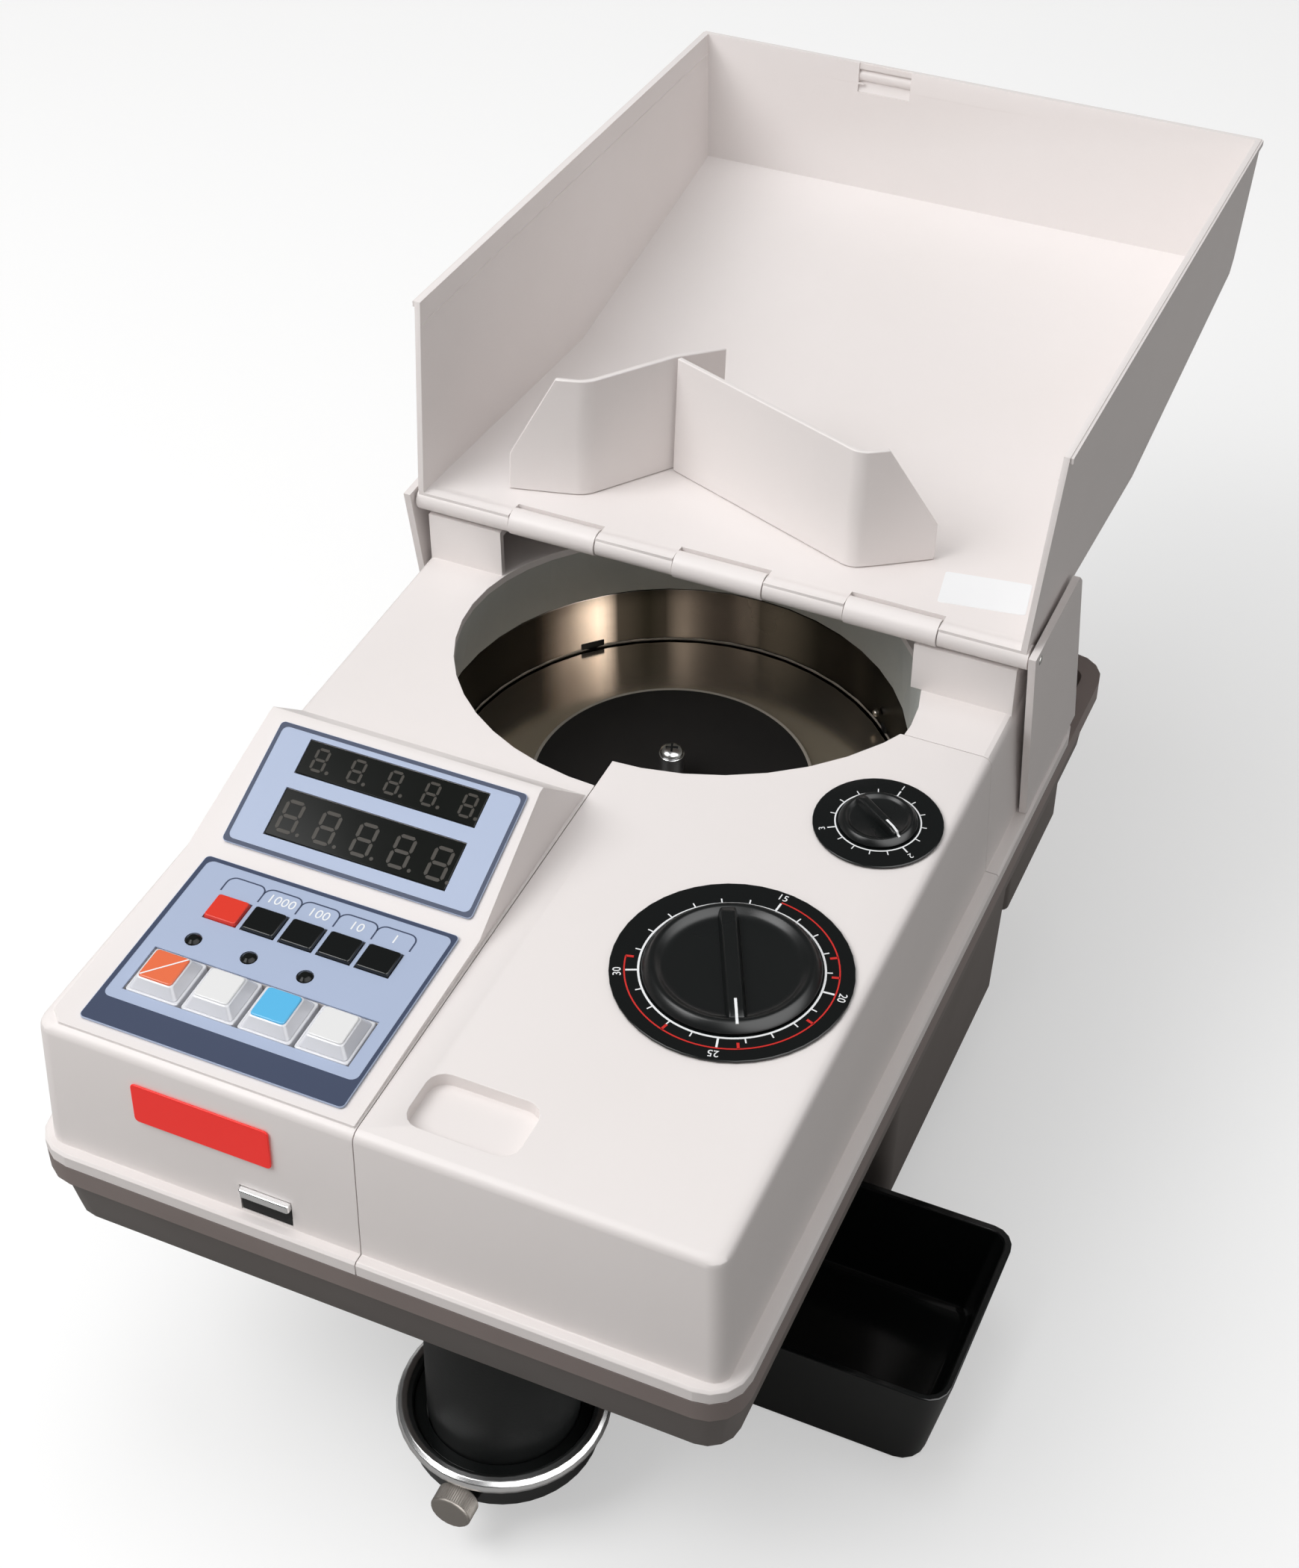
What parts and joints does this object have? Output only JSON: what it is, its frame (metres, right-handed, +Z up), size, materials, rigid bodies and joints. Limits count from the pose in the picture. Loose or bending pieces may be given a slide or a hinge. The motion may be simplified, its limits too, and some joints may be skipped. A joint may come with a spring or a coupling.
{
  "type": "coin counter",
  "caption": "Desktop coin counter with a folding hopper shown open, a disc bowl, a keypad and display, two setting dials, a bag outlet and a loose tray.",
  "frame": {"origin": "middle of the footprint's box, hopper open, on the table", "axes": "+Z up, +Y to the back, where the open hopper reaches, +X to the right of a person at the keys"},
  "size_m": [0.291, 0.5548, 0.3],
  "materials": {
    "badge_red": "plain red plate",
    "base_plastic": "dark brown-grey moulded plastic",
    "black_plastic": "black moulded plastic",
    "black_rubber": "matt black rubber",
    "button_red": "red button",
    "chrome": "bright plated metal",
    "circuit_board": "green circuit board",
    "housing_plastic": "warm off-white moulded plastic, fine texture",
    "key_blue": "sky-blue key cap",
    "key_orange": "orange-red key cap",
    "key_white": "white key cap",
    "motor_paint": "black painted steel",
    "panel_film": "printed blue-grey film",
    "polished_steel": "polished sheet steel with fine turning marks",
    "smoked_window": "dark red-black window",
    "zinc_plate": "dull zinc-plated metal"
  },
  "bodies": {
    "counter": {"badge_plate": "badge_red", "bag_ring": "chrome", "base_pan": "base_plastic", "bowl_wall": "housing_plastic", "chassis_plate": "zinc_plate", "coin_rail": "polished_steel", "control_board": "circuit_board", "count_sensor": "black_plastic", "disc_bearing": "zinc_plate", "display_lower": "smoked_window", "display_overlay": "panel_film", "display_upper": "smoked_window", "drive_belt": "black_rubber", "drive_motor": "motor_paint", "foot_front_left": "black_rubber", "foot_front_right": "black_rubber", "foot_rear_left": "black_rubber", "foot_rear_right": "black_rubber", "hinge_knuckles": "housing_plastic", "hinge_pin": "zinc_plate", "indicator_lamp_1": "smoked_window", "indicator_lamp_2": "smoked_window", "indicator_lamp_3": "smoked_window", "keypad_overlay": "panel_film", "main_housing": "housing_plastic", "outlet_collar": "black_plastic", "outlet_tube": "black_rubber", "power_inlet": "black_plastic", "side_plate_left": "housing_plastic", "side_plate_right": "housing_plastic", "steel_ring": "polished_steel", "transformer": "motor_paint"},
    "hopper": {"hopper": "housing_plastic", "divider_left": "housing_plastic", "divider_right": "housing_plastic"},
    "access_cover": {"access_cover": "housing_plastic", "diameter_dial": "black_plastic", "thickness_dial": "black_plastic"},
    "diameter_knob": {"diameter_knob": "black_plastic"},
    "thickness_knob": {"thickness_knob": "black_plastic"},
    "feed_disc": {"feed_disc": "polished_steel", "disc_pulley": "zinc_plate", "disc_pad": "black_rubber", "disc_post": "chrome", "disc_screw": "chrome"},
    "motor_pulley": {"motor_pulley": "zinc_plate"},
    "diameter_fence": {"diameter_fence": "polished_steel"},
    "latch_lever": {"latch_lever": "chrome"},
    "offsort_tray": {"offsort_tray": "black_plastic"},
    "thumb_screw": {"thumb_screw": "chrome"},
    "power_switch": {"power_switch": "black_plastic"},
    "start_stop_key": {"start_stop_key": "key_orange"},
    "count_key": {"count_key": "key_white"},
    "batch_key": {"batch_key": "key_blue"},
    "clear_key": {"clear_key": "key_white"},
    "reset_button": {"reset_button": "button_red"},
    "digit_button_1": {"digit_button_1": "black_plastic"},
    "digit_button_2": {"digit_button_2": "black_plastic"},
    "digit_button_3": {"digit_button_3": "black_plastic"},
    "digit_button_4": {"digit_button_4": "black_plastic"}
  },
  "joints": [
    {"name": "hopper_fold", "type": "hinge", "parent": "counter", "child": "hopper", "pos_m": [-0.0211, -0.00039, 0.2218], "axis": [-1, 0, 0], "range_deg": [-182.5, 0]},
    {"name": "cover_open", "type": "hinge", "parent": "counter", "child": "access_cover", "pos_m": [0.0389, -0.02819, 0.196], "axis": [-1, 0, 0], "range_deg": [0, 60]},
    {"name": "diameter_turn", "type": "hinge", "parent": "access_cover", "child": "diameter_knob", "pos_m": [0.0532, -0.15989, 0.196], "axis": [0, 0, -1], "range_deg": [-156, 123]},
    {"name": "thickness_turn", "type": "hinge", "parent": "access_cover", "child": "thickness_knob", "pos_m": [0.0717, -0.07589, 0.196], "axis": [0, 0, -1], "range_deg": [-140, 130]},
    {"name": "disc_spin", "type": "hinge", "parent": "counter", "child": "feed_disc", "pos_m": [-0.0343, -0.00799, 0.1207], "axis": [0, 0, 1], "continuous": true},
    {"name": "motor_spin", "type": "hinge", "parent": "counter", "child": "motor_pulley", "pos_m": [0.0409, -0.04389, 0.101], "axis": [0, 0, 1], "continuous": true},
    {"name": "fence_slide", "type": "slide", "parent": "counter", "child": "diameter_fence", "axis": [1, 0, 0], "range_m": [-0.0095, 0.0075]},
    {"name": "start_stop_press", "type": "slide", "parent": "counter", "child": "start_stop_key", "axis": [0, 0.0265, -0.9996], "range_m": [0, 0.0022], "stiffness_N_per_m": 400, "springref_m": -0.001},
    {"name": "count_press", "type": "slide", "parent": "counter", "child": "count_key", "axis": [0, 0.0265, -0.9996], "range_m": [0, 0.0022], "stiffness_N_per_m": 400, "springref_m": -0.001},
    {"name": "batch_press", "type": "slide", "parent": "counter", "child": "batch_key", "axis": [0, 0.0265, -0.9996], "range_m": [0, 0.0022], "stiffness_N_per_m": 400, "springref_m": -0.001},
    {"name": "clear_press", "type": "slide", "parent": "counter", "child": "clear_key", "axis": [0, 0.0265, -0.9996], "range_m": [0, 0.0022], "stiffness_N_per_m": 400, "springref_m": -0.001},
    {"name": "reset_button_press", "type": "slide", "parent": "counter", "child": "reset_button", "axis": [0, 0.0265, -0.9996], "range_m": [0, 0.0008], "stiffness_N_per_m": 600, "springref_m": -0.0006},
    {"name": "digit_button_1_press", "type": "slide", "parent": "counter", "child": "digit_button_1", "axis": [0, 0.0265, -0.9996], "range_m": [0, 0.0008], "stiffness_N_per_m": 600, "springref_m": -0.0006},
    {"name": "digit_button_2_press", "type": "slide", "parent": "counter", "child": "digit_button_2", "axis": [0, 0.0265, -0.9996], "range_m": [0, 0.0008], "stiffness_N_per_m": 600, "springref_m": -0.0006},
    {"name": "digit_button_3_press", "type": "slide", "parent": "counter", "child": "digit_button_3", "axis": [0, 0.0265, -0.9996], "range_m": [0, 0.0008], "stiffness_N_per_m": 600, "springref_m": -0.0006},
    {"name": "digit_button_4_press", "type": "slide", "parent": "counter", "child": "digit_button_4", "axis": [0, 0.0265, -0.9996], "range_m": [0, 0.0008], "stiffness_N_per_m": 600, "springref_m": -0.0006},
    {"name": "latch_press", "type": "slide", "parent": "counter", "child": "latch_lever", "axis": [0, 1, 0], "range_m": [0, 0.002], "stiffness_N_per_m": 500, "springref_m": -0.001},
    {"name": "tray_slide", "type": "slide", "parent": "counter", "child": "offsort_tray", "axis": [1, 0, 0], "range_m": [0, 0.06]},
    {"name": "screw_turn", "type": "hinge", "parent": "counter", "child": "thumb_screw", "pos_m": [0.0019, -0.26939, 0.0217], "axis": [0, 1, 0], "continuous": true},
    {"name": "switch_rock", "type": "hinge", "parent": "counter", "child": "power_switch", "pos_m": [0.0289, 0.10841, 0.081], "axis": [1, 0, 0], "range_deg": [-8, 8]}
  ],
  "couplings": [
    {"joint": "motor_spin", "follows": "disc_spin", "ratio": 2.6667},
    {"joint": "diameter_turn", "follows": "fence_slide", "rad_per_m": 285.71}
  ]
}
